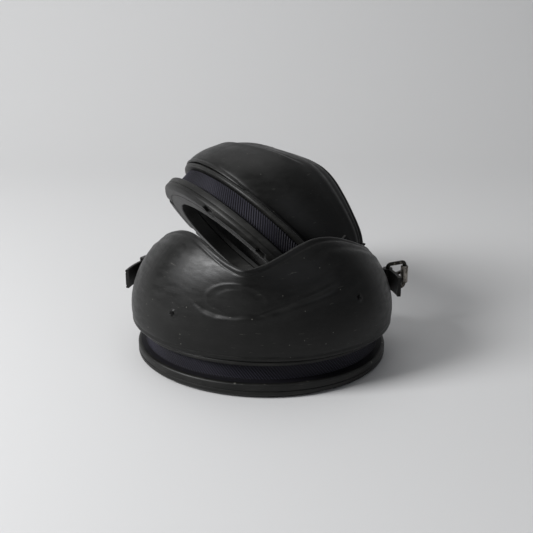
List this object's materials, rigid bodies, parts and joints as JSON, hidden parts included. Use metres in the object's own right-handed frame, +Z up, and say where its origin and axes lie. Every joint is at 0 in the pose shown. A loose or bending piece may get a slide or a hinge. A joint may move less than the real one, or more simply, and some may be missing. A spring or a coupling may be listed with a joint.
{
  "type": "rubber hoof boot pair",
  "caption": "Open-backed moulded rubber hoof boots, one upright and one tilted in its open top, each with an open tread ring, mesh band, domed skirt, strap and roller buckle.",
  "frame": {"origin": "on the floor under the middle of the pair's bounding box", "axes": "+Z up; -Y towards the viewer of the upright boot's toe; +X to that viewer's right"},
  "size_m": [0.1839, 0.211, 0.124],
  "materials": {
    "rubber": "matt moulded black with a worn soft sheen",
    "strap_rubber": "matt black",
    "woven_mesh": "coarse twill mesh, dark",
    "foam": "matt foam",
    "steel": "dull plated steel",
    "worn_steel": "worn bright steel"
  },
  "bodies": {
    "front_shell": {"front_tread_ring": "rubber", "front_frame_ring": "foam", "front_mesh_band": "woven_mesh", "front_clamp_bead": "rubber", "front_insole_ring": "foam", "front_skirt": "rubber", "front_lining_pad": "foam", "front_chape_strap": "strap_rubber", "front_billet_strap": "strap_rubber", "front_chape_rivet": "steel", "front_chape_washer": "steel", "front_billet_rivet": "steel", "front_billet_washer": "steel"},
    "front_buckle": {"front_buckle_frame": "steel"},
    "front_prong": {"front_buckle_prong": "steel"},
    "front_roller": {"front_buckle_roller": "worn_steel"},
    "front_keeper": {"front_keeper_loop": "strap_rubber"},
    "stacked_shell": {"stacked_tread_ring": "rubber", "stacked_frame_ring": "foam", "stacked_mesh_band": "woven_mesh", "stacked_clamp_bead": "rubber", "stacked_insole_ring": "foam", "stacked_skirt": "rubber", "stacked_lining_pad": "foam", "stacked_chape_strap": "strap_rubber", "stacked_billet_strap": "strap_rubber", "stacked_chape_rivet": "steel", "stacked_chape_washer": "steel", "stacked_billet_rivet": "steel", "stacked_billet_washer": "steel"},
    "stacked_buckle": {"stacked_buckle_frame": "steel"},
    "stacked_prong": {"stacked_buckle_prong": "steel"},
    "stacked_roller": {"stacked_buckle_roller": "worn_steel"},
    "stacked_keeper": {"stacked_keeper_loop": "strap_rubber"}
  },
  "joints": [
    {"name": "stacked_lift", "type": "slide", "parent": "front_shell", "child": "stacked_shell", "axis": [0, 0.6, 0.8], "range_m": [0, 0.12]},
    {"name": "front_buckle_swing", "type": "hinge", "parent": "front_shell", "child": "front_buckle", "pos_m": [0.07781, -0.01247, 0.04], "axis": [0, 0, 1], "range_deg": [-60, 60]},
    {"name": "front_prong_swing", "type": "hinge", "parent": "front_buckle", "child": "front_prong", "pos_m": [0.07781, -0.01247, 0.04], "axis": [0, 0, 1], "range_deg": [0, 25]},
    {"name": "front_roller_spin", "type": "hinge", "parent": "front_buckle", "child": "front_roller", "pos_m": [0.08956, -0.0069, 0.04], "axis": [0, 0, 1], "continuous": true},
    {"name": "front_keeper_slide", "type": "slide", "parent": "front_shell", "child": "front_keeper", "axis": [-0.5839, -0.8118, 0], "range_m": [-0.003, 0.003]},
    {"name": "stacked_buckle_swing", "type": "hinge", "parent": "stacked_shell", "child": "stacked_buckle", "pos_m": [0.05339, -0.03402, 0.05911], "axis": [0.6622, 0.3863, 0.6421], "range_deg": [-3, 3]},
    {"name": "stacked_prong_swing", "type": "hinge", "parent": "stacked_buckle", "child": "stacked_prong", "pos_m": [0.05339, -0.03402, 0.05911], "axis": [0.6622, 0.3863, 0.6421], "range_deg": [-4, 0]},
    {"name": "stacked_roller_spin", "type": "hinge", "parent": "stacked_buckle", "child": "stacked_roller", "pos_m": [0.05919, -0.02772, 0.04933], "axis": [0.6622, 0.3863, 0.6421], "continuous": true},
    {"name": "stacked_keeper_slide", "type": "slide", "parent": "stacked_shell", "child": "stacked_keeper", "axis": [-0.7493, 0.3548, 0.5593], "range_m": [-0.003, 0.003]}
  ]
}
